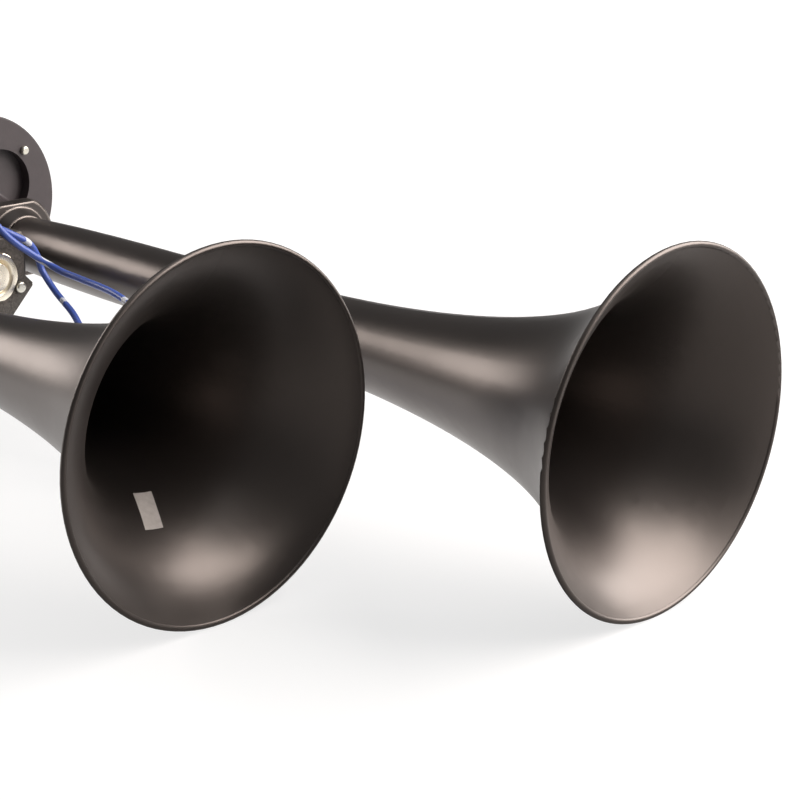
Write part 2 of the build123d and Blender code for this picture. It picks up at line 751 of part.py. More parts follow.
# The yoke is one bent strap: front plate, bridge over the coil, rear plate.
with BuildPart() as coil_yoke:
    with BuildSketch(Plane.XZ):
        with Locations((bonnet_x, coil_z - yoke_plate_r)):
            Rectangle(nut_x - bonnet_x, yoke_plate_r + yoke_top + yoke_t, align=(Align.MIN, Align.MIN))
        with Locations((coil_x, coil_z - yoke_plate_r)):
            Rectangle(coil_len, yoke_plate_r + yoke_top, align=(Align.MIN, Align.MIN), mode=Mode.SUBTRACT)
    extrude(amount=yoke_lug_half_w, both=True)
    fillet(
        coil_yoke.edges().filter_by(Axis.Y).group_by(Axis.Z)[-1],
        yoke_bend_r,
    )
    with BuildSketch(Plane.YZ.offset(bonnet_x)):
        with Locations((0, coil_z)):
            Rectangle(2 * yoke_half_w, yoke_top + yoke_t, align=(Align.CENTER, Align.MIN))
            with BuildLine():
                Polyline(
                    (yoke_half_w, 0),
                    (yoke_half_w, -yoke_lug_drop + yoke_lug_half_w - yoke_half_w),
                    (yoke_lug_half_w, -yoke_lug_drop),
                    (yoke_lug_half_w + yoke_lug_drop - yoke_plate_r, -yoke_plate_r),
                    (0, -yoke_plate_r),
                )
                mirror(about=Plane.YZ)
                Line((-yoke_half_w, 0), (yoke_half_w, 0))
            make_face()
    extrude(amount=nut_x - bonnet_x, mode=Mode.INTERSECT)
    # the bridge and the rear plate are narrower than the front plate
    with BuildSketch(Plane.YZ.offset(bonnet_x)):
        with Locations((0, coil_z)):
            Rectangle(4 * yoke_half_w, 4 * yoke_half_w)
            Rectangle(2 * yoke_half_w, 2 * (yoke_top + yoke_t), mode=Mode.SUBTRACT)
    extrude(amount=coil_front_x - bonnet_x, mode=Mode.SUBTRACT)
    lug_points = coil_yoke.edges().filter_by(Axis.X)
    fillet([lug_points.sort_by(Axis.Y)[0], lug_points.sort_by(Axis.Y)[-1]], yoke_lug_r)
    with BuildSketch(Plane.YZ.offset(nut_x)):
        with Locations((0, coil_z)):
            Circle(core_stud_r + screw_clear)
        with Locations((yoke_screw_y, coil_z - yoke_screw_drop), (-yoke_screw_y, coil_z - yoke_screw_drop)):
            Circle(yoke_screw_r + screw_clear)
    extrude(amount=-yoke_t, mode=Mode.SUBTRACT)
    with BuildSketch(Plane.YZ.offset(bonnet_x)):
        with Locations((0, coil_z)):
            Circle(guide_r + guide_wall + coil_clear)
    extrude(amount=yoke_t, mode=Mode.SUBTRACT)
coil_yoke.part.label = "coil_yoke"
export_step(coil_yoke.part, "parts/coil_yoke.step")

with BuildPart() as coil_nut:
    with BuildSketch(Plane.YZ.offset(nut_x)):
        with Locations((0, coil_z)):
            Circle(coil_nut_r)
    extrude(amount=coil_nut_t)
    fillet(coil_nut.faces().sort_by(Axis.X)[-1].edges(), coil_nut_edge)
    with BuildSketch(Plane.YZ.offset(nut_x)):
        with Locations((0, coil_z)):
            RegularPolygon(across_to_corner(coil_nut_across), 6)
    extrude(amount=coil_nut_t, mode=Mode.INTERSECT)
    with Locations(Location((nut_x + coil_nut_t, 0, coil_z), (0, 90, 0))):
        CounterSinkHole(core_stud_r + thread_clear, core_stud_r + coil_nut_sink, coil_nut_t)
coil_nut.part.label = "coil_nut"
export_step(coil_nut.part, "parts/coil_nut.step")

with BuildPart() as yoke_screws:
    with Locations(*[(nut_x, side * yoke_screw_y, coil_z - yoke_screw_drop) for side in (1, -1)]):
        add(pan_screw(yoke_head_r, yoke_head_h, yoke_screw_r, yoke_t + yoke_screw_grip - blind_end))
yoke_screws.part.label = "yoke_screws"
export_step(yoke_screws.part, "parts/yoke_screws.step")

# ================================================================ leads
# Each lead leaves the coil's outlet upwards through a short sleeve, crosses the
# yoke's bridge, runs on between the trumpets, drops behind the short bell and
# lies on the ground.
exit_x = coil_x + outlet_len / 2
sleeve_z = coil_z + outlet_z[1]                  # top of the outlet
exit_z = sleeve_z + sleeve_len
front_route = [
    (exit_x, -front_lead_out, exit_z),
    (exit_x, -front_lead_out, 102.2),
    (66.9, -31.1, 107.7),
    (72.8, -25.2, 111.5),
    (82.0, -16.5, 110.5),
    (92.0, -7.2, 106.0),
    (101.0, 1.2, 103.6),
    (106.6, 6.6, 99.6),
    (107.0, 12.2, 93.8),
    (108.0, 17.0, 88.6),
    (110.2, 21.4, 85.6),
    (114.5, 25.0, 83.6),
    (122.0, 26.6, 82.8),
    (135.0, 25.6, 82.6),
    (150.0, 23.0, 82.4),
    (169.0, 19.0, 82.4),
    (187.0, 14.0, 80.5),
    (202.0, 9.5, 72.5),
    (213.0, 6.0, 59.0),
    (221.5, 3.0, 43.0),
    (228.0, 1.0, 26.0),
    (239.0, -2.5, 11.5),
    (256.0, -6.5, 3.0),
    (277.0, -10.5, lead_r),
    (299.0, -16.0, lead_r),
]
rear_route = [
    (exit_x, -rear_lead_out, exit_z),
    (exit_x, -rear_lead_out, 102.2),
    (66.9, -26.3, 107.6),
    (71.8, -21.2, 110.6),
    (80.0, -12.0, 108.6),
    (89.0, -2.0, 104.8),
    (97.0, 6.3, 102.7),
    (103.0, 11.4, 99.8),
    (104.2, 16.6, 95.8),
    (104.8, 20.8, 94.0),
    (105.0, 24.6, 91.2),
    (104.6, 26.7, 86.0),
    (104.6, 26.9, 80.0),
    (106.0, 28.3, 75.4),
    (110.0, 29.2, 72.2),
    (117.0, 28.2, 69.9),
    (126.0, 25.2, 67.6),
    (137.0, 21.8, 64.6),
    (148.5, 16.8, 58.5),
    (159.0, 12.8, 45.0),
    (167.5, 9.5, 28.5),
    (177.0, 7.0, 13.0),
    (191.0, 5.0, 4.0),
    (209.0, 5.0, lead_r),
    (230.0, 8.0, lead_r),
    (250.0, 14.0, lead_r),
    (268.0, 23.0, lead_r),
]


def bend_radii(route):
    """As large an arc at each corner as its two runs allow."""
    points = [Vector(*point) for point in route]
    radii = []
    for before, corner, after in zip(points, points[1:], points[2:]):
        run_in = corner - before
        run_out = after - corner
        half_turn = radians(run_in.get_angle(run_out)) / 2
        radii.append(run_share * min(run_in.length, run_out.length) / tan(half_turn))
    return radii


def lead(route):
    """A round lead along its route."""
    with BuildPart() as tube:
        with BuildLine():
            path = FilletPolyline(*route, radius=bend_radii(route))
        with BuildSketch(Plane(origin=path @ 0, z_dir=path % 0)):
            Circle(lead_r)
        sweep()
    print("lead", round(path.length, 1), "mm, tightest bend", round(min(bend_radii(route)), 1))
    print("  volume over section times length", round(tube.part.volume / (pi * lead_r**2 * path.length), 4))
    return tube.part


with BuildPart() as front_lead:
    add(lead(front_route))
front_lead.part.label = "front_lead"
export_step(front_lead.part, "parts/front_lead.step")

with BuildPart() as rear_lead:
    add(lead(rear_route))
rear_lead.part.label = "rear_lead"
export_step(rear_lead.part, "parts/rear_lead.step")

with BuildPart() as lead_sleeves:
    with BuildSketch(Plane.XY.offset(sleeve_z)):
        with Locations((exit_x, -front_lead_out), (exit_x, -rear_lead_out)):
            Circle(sleeve_r)
    extrude(amount=sleeve_len, taper=degrees(atan((sleeve_r - sleeve_tip_r) / sleeve_len)))
lead_sleeves.part.label = "lead_sleeves"
export_step(lead_sleeves.part, "parts/lead_sleeves.step")

# the stripped and tinned ends
with BuildPart() as lead_tips:
    for route in (front_route, rear_route):
        last_run = Vector(*route[-1]) - Vector(*route[-2])
        with BuildSketch(Plane(origin=route[-1], z_dir=last_run)):
            Circle(tip_r)
        extrude(amount=tip_len)
lead_tips.part.label = "lead_tips"
export_step(lead_tips.part, "parts/lead_tips.step")

# ================================================================ bracket
bracket_x = bridge_x - bracket_t                 # back face of the upright plate
bracket_top = disc_z + bridge_back_h / 2 - bracket_top_margin
with BuildPart() as bracket:
    with BuildSketch(Plane.XZ):
        with BuildLine():
            Polyline(
                (bracket_x, 0),
                (bracket_foot_front, 0),
                (bracket_foot_front, bracket_t),
                (bridge_x, bracket_t),
                (bridge_x, bracket_top),
                (bracket_x, bracket_top),
                close=True,
            )
        make_face()
    extrude(amount=bracket_foot_w / 2, both=True)
    bend_edges = bracket.edges().filter_by(Axis.Y)
    fillet(bend_edges.sort_by_distance((bridge_x, 0, bracket_t))[0], bracket_bend_r)
    bend_edges = bracket.edges().filter_by(Axis.Y)
    fillet(bend_edges.sort_by_distance((bracket_x, 0, 0))[0], bracket_bend_r + bracket_t)
    # the upright narrows to a tab that clears the rear covers
    with BuildSketch(Plane.YZ.offset(bracket_x)):
        with BuildLine():
            Polyline(
                (-bracket_foot_w / 2, 0),
                (-bracket_foot_w / 2, bracket_waist_z[0]),
                (-bracket_tab_w / 2, bracket_waist_z[1]),
                (-bracket_tab_w / 2, bracket_top),
                (bracket_tab_w / 2, bracket_top),
                (bracket_tab_w / 2, bracket_waist_z[1]),
                (bracket_foot_w / 2, bracket_waist_z[0]),
                (bracket_foot_w / 2, 0),
                close=True,
            )
        make_face()
    extrude(amount=bracket_foot_front - bracket_x, mode=Mode.INTERSECT)
    fillet(bracket.edges().filter_by(Axis.X).group_by(Axis.Z)[-1], bracket_corner_r)
    fillet(bracket.edges().filter_by(Axis.Z).group_by(Axis.X)[-1], bracket_corner_r)
    with BuildSketch(Plane.XY):
        with GridLocations(0, slot_gap, 1, 2):
            SlotOverall(slot_len, 2 * slot_r, rotation=90)
    extrude(amount=bracket_t, mode=Mode.SUBTRACT)
    with BuildSketch(Plane.YZ.offset(bracket_x)):
        with Locations((0, disc_z)):
            with GridLocations(bracket_bolt_gap, 0, 2, 1):
                Circle(bracket_bolt_r + 2 * screw_clear)
    extrude(amount=bracket_t, mode=Mode.SUBTRACT)
bracket.part.label = "bracket"
export_step(bracket.part, "parts/bracket.step")

with BuildPart() as bracket_washers:
    with BuildSketch(Plane.YZ.offset(bracket_x)):
        with Locations((0, disc_z)):
            with GridLocations(bracket_bolt_gap, 0, 2, 1):
                Circle(washer_r)
                Circle(bracket_bolt_r + screw_clear, mode=Mode.SUBTRACT)
    extrude(amount=-washer_t)
bracket_washers.part.label = "bracket_washers"
export_step(bracket_washers.part, "parts/bracket_washers.step")

head_x = bracket_x - washer_t
with BuildPart() as bracket_bolts:
    with BuildSketch(Plane.YZ.offset(head_x)):
        with Locations((0, disc_z)):
            with GridLocations(bracket_bolt_gap, 0, 2, 1):
                RegularPolygon(across_to_corner(bracket_head_across), 6)
    extrude(amount=-bracket_head_t)
    with BuildSketch(Plane.YZ.offset(head_x)):
        with Locations((0, disc_z)):
            with GridLocations(bracket_bolt_gap, 0, 2, 1):
                Circle(bracket_bolt_r)
    extrude(amount=washer_t + bracket_t + bracket_bolt_grip)
bracket_bolts.part.label = "bracket_bolts"
export_step(bracket_bolts.part, "parts/bracket_bolts.step")
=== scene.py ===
# %% [markdown]
# # A twin-trumpet car air horn
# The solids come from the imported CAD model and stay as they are. This file
# gives each one its finish, lays the two leads as smooth cords, puts the whole
# strap in the yoke's place, adds the small label in the short bell, and sets
# the floor, the lamps and the camera.

# %% The frame
from math import cos, pi, radians, sin, tan

import bmesh
import bpy
from mathutils import Matrix, Vector
from mathutils.bvhtree import BVHTree


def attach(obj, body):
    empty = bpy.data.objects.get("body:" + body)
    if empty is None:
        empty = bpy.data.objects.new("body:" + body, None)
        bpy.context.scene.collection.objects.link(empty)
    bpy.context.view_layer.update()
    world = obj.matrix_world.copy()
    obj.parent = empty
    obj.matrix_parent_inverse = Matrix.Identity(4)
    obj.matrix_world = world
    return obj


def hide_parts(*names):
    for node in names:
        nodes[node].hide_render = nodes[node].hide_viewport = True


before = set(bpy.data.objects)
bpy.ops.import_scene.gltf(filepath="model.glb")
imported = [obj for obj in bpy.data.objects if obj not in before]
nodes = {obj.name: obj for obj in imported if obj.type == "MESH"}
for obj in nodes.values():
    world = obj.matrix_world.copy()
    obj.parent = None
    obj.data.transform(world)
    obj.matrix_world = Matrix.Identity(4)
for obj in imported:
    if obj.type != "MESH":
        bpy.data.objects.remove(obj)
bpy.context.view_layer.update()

bpy.context.scene.view_settings.view_transform = "Standard"
print("CAD nodes:", len(nodes))

# %% [markdown]
# The camera stands in front of the bells, to the short trumpet's side and a
# little above them. A long lens keeps the two round mouths nearly the same
# size. Its three axes are given as they stand in the model's own frame.

# %% Camera
LENS_MM = 93.75
SENSOR_MM = 36.0
NEAREST = 0.01
eye = Vector((0.8869, -0.5532, 0.3282))
eye_right = Vector((0.7223, 0.69107, 0.02688))
eye_up = Vector((-0.2307, 0.2041, 0.95138))
eye_back = eye_right.cross(eye_up)
lens = bpy.data.cameras.new("camera")
lens.lens = LENS_MM
lens.sensor_width = SENSOR_MM
lens.clip_start = NEAREST
camera = bpy.data.objects.new("camera", lens)
bpy.context.scene.collection.objects.link(camera)
turn = Matrix((eye_right, eye_up, eye_back)).transposed()
camera.matrix_world = Matrix.Translation(eye) @ turn.to_4x4()
bpy.context.scene.camera = camera
print("camera", [round(c, 3) for c in eye], "lens", LENS_MM, "mm")

# %% [markdown]
# Two limp PVC-insulated leads feed the coil. They leave its outlet, run over
# the yoke's bridge and between the trumpets, drop behind the short bell and
# end on the ground with their tips stripped. Each is a NURBS curve with the
# route's points as control points, given a round section: a curve keeps its
# thickness in every bend, which a swept mesh would need more work to do. The
# radius is given at the points, and the bevel is 1, because a curve's box is
# measured with the points' own radius.

# %% Leads
LEAD_D = 0.0032
FRONT_ROUTE = [
    (0.0645, -0.0335, 0.0975),
    (0.0645, -0.0335, 0.1022),
    (0.0669, -0.0311, 0.1077),
    (0.0733, -0.0248, 0.111),
    (0.0825, -0.0155, 0.1114),
    (0.0924, -0.0052, 0.1096),
    (0.1008, 0.0033, 0.1062),
    (0.1052, 0.0066, 0.0996),
    (0.1084, 0.0122, 0.0938),
    (0.1092, 0.018, 0.0896),
    (0.1123, 0.0224, 0.0856),
    (0.1162, 0.0248, 0.0836),
    (0.1235, 0.0256, 0.0818),
    (0.1352, 0.025, 0.0816),
    (0.1505, 0.0216, 0.0824),
    (0.169, 0.0194, 0.0824),
    (0.1881, 0.0159, 0.08),
    (0.2025, 0.0111, 0.0718),
    (0.2132, 0.0065, 0.0589),
    (0.2215, 0.003, 0.043),
    (0.228, 0.001, 0.026),
    (0.239, -0.0025, 0.0115),
    (0.256, -0.0065, 0.003),
    (0.277, -0.0105, 0.0016),
    (0.299, -0.016, 0.0016),
]
REAR_ROUTE = [
    (0.0645, -0.0287, 0.0975),
    (0.0645, -0.0287, 0.1022),
    (0.0669, -0.0263, 0.1076),
    (0.0724, -0.0204, 0.1104),
    (0.08, -0.0125, 0.1095),
    (0.0881, -0.004, 0.1067),
    (0.0954, 0.0037, 0.1033),
    (0.1006, 0.0103, 0.0997),
    (0.1034, 0.0168, 0.0958),
    (0.1043, 0.0203, 0.0938),
    (0.1042, 0.0236, 0.0903),
    (0.104, 0.0267, 0.0844),
    (0.1044, 0.0274, 0.0799),
    (0.1062, 0.0283, 0.0764),
    (0.11, 0.029, 0.0723),
    (0.1166, 0.0272, 0.0699),
    (0.1248, 0.0252, 0.0676),
    (0.1372, 0.0218, 0.0646),
    (0.1492, 0.018, 0.0576),
    (0.159, 0.0128, 0.045),
    (0.1675, 0.0095, 0.0285),
    (0.177, 0.007, 0.013),
    (0.191, 0.005, 0.004),
    (0.209, 0.005, 0.0016),
    (0.23, 0.008, 0.0016),
    (0.25, 0.014, 0.0016),
    (0.268, 0.023, 0.0016),
]


def lay_lead(name, route):
    """One free lead along the route, in place of the CAD tube of that name."""
    curve = bpy.data.curves.new(name + "_line", "CURVE")
    curve.dimensions = "3D"
    line = curve.splines.new("NURBS")
    line.points.add(len(route) - 1)
    for point, place in zip(line.points, route):
        point.co = (*place, 1.0)
        point.radius = LEAD_D / 2
    line.order_u = 3
    line.use_endpoint_u = True
    line.resolution_u = 10
    curve.bevel_depth = 1.0
    curve.bevel_resolution = 5
    curve.use_fill_caps = True
    lead = bpy.data.objects.new(name + "_cord", curve)
    bpy.context.scene.collection.objects.link(lead)
    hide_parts(name)
    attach(lead, "horn")
    return lead


front_lead = lay_lead("front_lead", FRONT_ROUTE)
rear_lead = lay_lead("rear_lead", REAR_ROUTE)
print("leads:", len(FRONT_ROUTE), "and", len(REAR_ROUTE), "points")

# %% [markdown]
# The solenoid's yoke is one steel strap, punched flat and then bent into a
# front plate, a bridge over the coil and a rear plate. It could be modelled
# face by face, but Booleans follow how it is made: the bent strap is its side
# profile drawn out across its width, and only what lies inside the punched
# outline is kept. That outline has a pointed lug for each screw. Narrower
# cuts then trim the bridge and the rear plate, and drills make the holes.

# %% The yoke's sizes, in millimetres
MM = 0.001
COIL_Z = 80.0
YOKE_BACK = 58.0
YOKE_FRONT = 101.0
YOKE_T = 2.5
YOKE_TOP = 97.7
YOKE_LOW = 55.0
BRIDGE_HALF = 21.0
LUG_Y = 26.5
LUG_Z = 71.3
LUG_R = 1.5
BEND_R = 2.0
PUNCHED_EDGE = 0.25
SCREW_Y = 17.6
SCREW_Z = 71.6
SCREW_HOLE_R = 1.65
STUD_HOLE_R = 7.15
GUIDE_HOLE_R = 8.2
TRIM_FAR = 30.0
TRIM_LOW = 50.0
TRIM_HIGH = 100.0
DRILL_IN = 4.0
PAST = 1.0  # how far a cutter starts outside the plate it cuts
ARC_STEPS = 6
DRILL_STEPS = 40
print("yoke:", YOKE_FRONT - YOKE_BACK, "long,", 2 * LUG_Y, "over the lugs,", YOKE_T, "thick")

# %% [markdown]
# Two helpers give every shape here. One turns a sharp corner of an outline
# into an arc of short runs, and the other draws an outline out into a closed
# solid. A Boolean needs its solids closed, with their faces pointing outward.

# %% Outlines and solids
def rounded(outline, radii):
    """The outline with each corner that has a radius turned into short runs."""
    points = []
    for k, corner in enumerate(outline):
        here = Vector(corner)
        if k not in radii:
            points.append(here)
            continue
        before = (Vector(outline[k - 1]) - here).normalized()
        after = (Vector(outline[(k + 1) % len(outline)]) - here).normalized()
        half = before.angle(after) / 2
        centre = here + (before + after).normalized() * radii[k] / sin(half)
        reach = radii[k] / tan(half)
        first = here + before * reach - centre
        last = here + after * reach - centre
        points.append(centre + first)
        points += [centre + first.slerp(last, step / ARC_STEPS) for step in range(1, ARC_STEPS + 1)]
    return points


def prism(name, outline, along, low, high):
    """A closed solid in mm: the outline drawn out along X or Y."""
    corners = []
    for depth in (low, high):
        for a, b in outline:
            corners.append((depth, a, b) if along == "X" else (a, depth, b))
    count = len(outline)
    sides = [(k, (k + 1) % count, (k + 1) % count + count, k + count) for k in range(count)]
    ends = [tuple(range(count)), tuple(range(count, 2 * count))]
    mesh = bpy.data.meshes.new(name)
    mesh.from_pydata([[MM * c for c in corner] for corner in corners], [], ends + sides)
    outward = bmesh.new()
    outward.from_mesh(mesh)
    bmesh.ops.recalc_face_normals(outward, faces=outward.faces)
    outward.to_mesh(mesh)
    outward.free()
    return bpy.data.objects.new(name, mesh)


def drill(y, z, radius, low, high):
    """A round cutter along X."""
    turns = [2 * pi * k / DRILL_STEPS for k in range(DRILL_STEPS)]
    outline = [(y + radius * cos(t), z + radius * sin(t)) for t in turns]
    return prism("drill", outline, "X", low, high)


print("an arc has", ARC_STEPS, "runs, a drill", DRILL_STEPS, "sides")

# %% [markdown]
# The strap starts as its side profile, an upside-down U with two round bends,
# drawn out as wide as the lugs. The punch is the front plate's outline, drawn
# through the whole strap, and it is symmetrical, so only its right side is
# listed. The two trims take the lugs' width off the bridge and the rear plate.

# %% The bent strap and its cutters
inner_top = YOKE_TOP - YOKE_T
strap_profile = [
    (YOKE_BACK, YOKE_LOW),
    (YOKE_BACK, YOKE_TOP),
    (YOKE_FRONT, YOKE_TOP),
    (YOKE_FRONT, YOKE_LOW),
    (YOKE_FRONT - YOKE_T, YOKE_LOW),
    (YOKE_FRONT - YOKE_T, inner_top),
    (YOKE_BACK + YOKE_T, inner_top),
    (YOKE_BACK + YOKE_T, YOKE_LOW),
]
yoke = prism("yoke_strap", rounded(strap_profile, {1: BEND_R, 2: BEND_R}), "Y", -LUG_Y, LUG_Y)
shoulder = (BRIDGE_HALF, LUG_Z + LUG_Y - BRIDGE_HALF)
foot = (LUG_Y - (LUG_Z - YOKE_LOW), YOKE_LOW)
right_side = [(BRIDGE_HALF, YOKE_TOP), shoulder, (LUG_Y, LUG_Z), foot]
left_side = [(-y, z) for y, z in reversed(right_side)]
plate = rounded(right_side + left_side, {2: LUG_R, 5: LUG_R})
punch = prism("punch", plate, "X", YOKE_BACK - PAST, YOKE_FRONT + PAST)
cutters = [("INTERSECT", punch)]
for side in (1, -1):
    near = side * BRIDGE_HALF
    far = side * TRIM_FAR
    sheet = [(near, TRIM_LOW), (far, TRIM_LOW), (far, TRIM_HIGH), (near, TRIM_HIGH)]
    trim = prism("trim", sheet, "X", YOKE_BACK - PAST, YOKE_FRONT - YOKE_T)
    cutters.append(("DIFFERENCE", trim))
into_front = (YOKE_FRONT - DRILL_IN, YOKE_FRONT + PAST)
cutters.append(("DIFFERENCE", drill(0.0, COIL_Z, STUD_HOLE_R, *into_front)))
into_rear = (YOKE_BACK - PAST, YOKE_BACK + DRILL_IN)
cutters.append(("DIFFERENCE", drill(0.0, COIL_Z, GUIDE_HOLE_R, *into_rear)))
for side in (1, -1):
    cutters.append(("DIFFERENCE", drill(side * SCREW_Y, SCREW_Z, SCREW_HOLE_R, *into_front)))
print("cutters:", len(cutters))

# %% [markdown]
# The cuts are made in turn, and a narrow bevel breaks the punched edges so
# that they catch the light. The result is kept as the piece's own mesh, and
# the cutters go. Faces are smooth but for edges of over 30 degrees.

# %% The finished strap
BEVEL_FROM = 40
SHARP_FROM = 30
bpy.context.scene.collection.objects.link(yoke)
for operation, cutter in cutters:
    bpy.context.scene.collection.objects.link(cutter)
    cut = yoke.modifiers.new("cut", "BOOLEAN")
    cut.operation = operation
    cut.object = cutter
    cut.solver = "EXACT"
edge = yoke.modifiers.new("edge", "BEVEL")
edge.width = MM * PUNCHED_EDGE
edge.segments = 2
edge.limit_method = "ANGLE"
edge.angle_limit = radians(BEVEL_FROM)
evaluated = yoke.evaluated_get(bpy.context.evaluated_depsgraph_get())
strap_mesh = bpy.data.meshes.new_from_object(evaluated)
yoke.modifiers.clear()
yoke.data = strap_mesh
for operation, cutter in cutters:
    bpy.data.objects.remove(cutter)
strap_mesh.shade_smooth()
strap_mesh.set_sharp_from_angle(angle=radians(SHARP_FROM))
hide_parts("coil_yoke")
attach(yoke, "horn")
print("yoke strap:", len(strap_mesh.polygons), "faces")

# %% [markdown]
# Every finish is a small node tree that works in the model's own metres, so a
# grain of a tenth of a millimetre stays one wherever it lies. One function
# adds a node: what it is told is set on the node, or on an input, and a socket
# is linked. Where inputs share a name they are told by number, as in0. In a
# Mix node that mixes colours, in6 and in7 are the two colours.

# %% Helpers for the finishes
def linear(hex_colour):
    """An sRGB hex colour as linear red, green, blue and full alpha."""
    channels = [int(hex_colour[i : i + 2], 16) / 255 for i in (1, 3, 5)]
    return tuple(
        c / 12.92 if c <= 0.04045 else ((c + 0.055) / 1.055) ** 2.4 for c in channels
    ) + (1.0,)


def add_node(tree, kind, to=None, **settings):
    """Add a node and set or link what is named; to is an input it feeds."""
    made = tree.nodes.new(kind)
    for key, value in settings.items():
        if hasattr(made, key):
            setattr(made, key, value)
            continue
        name = int(key[2:]) if key[:2] == "in" else key.replace("_", " ")
        if isinstance(value, bpy.types.NodeSocket):
            tree.links.new(value, made.inputs[name])
        else:
            made.inputs[name].default_value = value
    if to is not None:
        tree.links.new(next(socket for socket in made.outputs if socket.enabled), to)
    return made


def new_finish(name, base, roughness, metallic=0.0, **inputs):
    """A material, its node tree, its one shader and its place in the model's metres."""
    material = bpy.data.materials.new(name)
    material.use_nodes = True
    tree = material.node_tree
    shader = tree.nodes["Principled BSDF"]
    shader.inputs["Base Color"].default_value = linear(base)
    shader.inputs["Roughness"].default_value = roughness
    shader.inputs["Metallic"].default_value = metallic
    for key, value in inputs.items():
        shader.inputs[key.replace("_", " ")].default_value = value
    place = add_node(tree, "ShaderNodeTexCoord").outputs["Object"]
    return material, tree, shader, place


def per_metre(size_mm):
    """A texture's scale that gives features of that size."""
    return 1000 / size_mm


def paint(material, *names):
    """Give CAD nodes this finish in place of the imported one."""
    for name in names:
        slots = nodes[name].data.materials
        for i in range(len(slots)):
            slots[i] = material
    print(material.name, "on", len(names), "nodes")


# %% [markdown]
# The trumpets are ABS, moulded in one piece and left satin black by a finely
# spark-eroded mould. That gives broad, soft highlights with no sparkle. ABS
# has an IOR of about 1.54. It and the specular level were raised until the
# highlights matched the real horn's, and their tint is a little warm, as its
# are. The grain is a noise in the bump, drawn at 0.5 mm, coarser than the
# mould's, so that it shows. Slow patches in the roughness are where the melt
# flowed and where hands have held it.

# %% Satin moulded ABS
satin_abs, tree, shader, place = new_finish(
    "satin_moulded_abs",
    "#1E1B1A",
    0.36,
    IOR=1.6,
    Specular_IOR_Level=1.0,
    Specular_Tint=linear("#FFF0E8"),
)
patches = add_node(tree, "ShaderNodeTexNoise", Vector=place, Scale=per_metre(38), Detail=3.0)
add_node(
    tree,
    "ShaderNodeMapRange",
    to=shader.inputs["Roughness"],
    Value=patches.outputs["Fac"],
    From_Min=0.3,
    From_Max=0.7,
    To_Min=0.34,
    To_Max=0.40,
)
grain = add_node(tree, "ShaderNodeTexNoise", Vector=place, Scale=per_metre(0.5), Detail=2.0)
add_node(
    tree,
    "ShaderNodeBump",
    to=shader.inputs["Normal"],
    Strength=0.12,
    Distance=0.0001,
    Height=grain.outputs["Fac"],
)
paint(satin_abs, "long_trumpet", "short_trumpet")

# %% [markdown]
# The coil's jacket is glass-filled nylon, moulded over the winding. The short
# fibres lie near the surface and make it duller and a little uneven, so this
# black is rougher than the trumpets' and has a coarser bump, 0.8 mm for the
# fibres.

# %% Glass-filled nylon
filled_nylon, tree, shader, place = new_finish("glass_filled_nylon", "#1B1918", 0.5, IOR=1.53)
fibres = add_node(tree, "ShaderNodeTexNoise", Vector=place, Scale=per_metre(0.8), Detail=4.0)
add_node(
    tree,
    "ShaderNodeMapRange",
    to=shader.inputs["Roughness"],
    Value=fibres.outputs["Fac"],
    To_Min=0.38,
    To_Max=0.58,
)
add_node(
    tree,
    "ShaderNodeBump",
    to=shader.inputs["Normal"],
    Strength=0.2,
    Distance=0.0001,
    Height=fibres.outputs["Fac"],
)
paint(filled_nylon, "coil")

# %% [markdown]
# The body is a zinc die casting with a thin stoved enamel. The enamel follows
# the casting's skin, which is faintly wavy, like orange peel, and it has gone
# a warm dark grey where the dust sits. A noise of 2 mm gives the waves, and a
# slower one mixes the two colours.

# %% Stoved enamel on the casting
stoved_enamel, tree, shader, place = new_finish("stoved_enamel_on_casting", "#423B3D", 0.5, IOR=1.5)
dust = add_node(tree, "ShaderNodeTexNoise", Vector=place, Scale=per_metre(9), Detail=5.0)
add_node(
    tree,
    "ShaderNodeMix",
    to=shader.inputs["Base Color"],
    data_type="RGBA",
    in0=dust.outputs["Fac"],
    in6=linear("#3A3436"),
    in7=linear("#4A4244"),
)
peel = add_node(tree, "ShaderNodeTexNoise", Vector=place, Scale=per_metre(2), Detail=3.0)
add_node(
    tree,
    "ShaderNodeBump",
    to=shader.inputs["Normal"],
    Strength=0.25,
    Distance=0.0003,
    Height=peel.outputs["Fac"],
)
paint(stoved_enamel, "horn_body")

# %% [markdown]
# The rear covers are pressed steel under a smoother satin enamel, sprayed over
# a sheet that was flat before it was drawn. It is a plain black with only a
# faint wave, so its highlight stays unbroken.

# %% Satin enamel on pressed steel
satin_enamel, tree, shader, place = new_finish("satin_enamel_on_steel", "#1D1B1A", 0.4, IOR=1.5)
spray = add_node(tree, "ShaderNodeTexNoise", Vector=place, Scale=per_metre(3), Detail=2.0)
add_node(
    tree,
    "ShaderNodeMapRange",
    to=shader.inputs["Roughness"],
    Value=spray.outputs["Fac"],
    To_Min=0.34,
    To_Max=0.46,
)
add_node(
    tree,
    "ShaderNodeBump",
    to=shader.inputs["Normal"],
    Strength=0.1,
    Distance=0.0002,
    Height=spray.outputs["Fac"],
)
paint(satin_enamel, "long_rear_cover", "short_rear_cover")
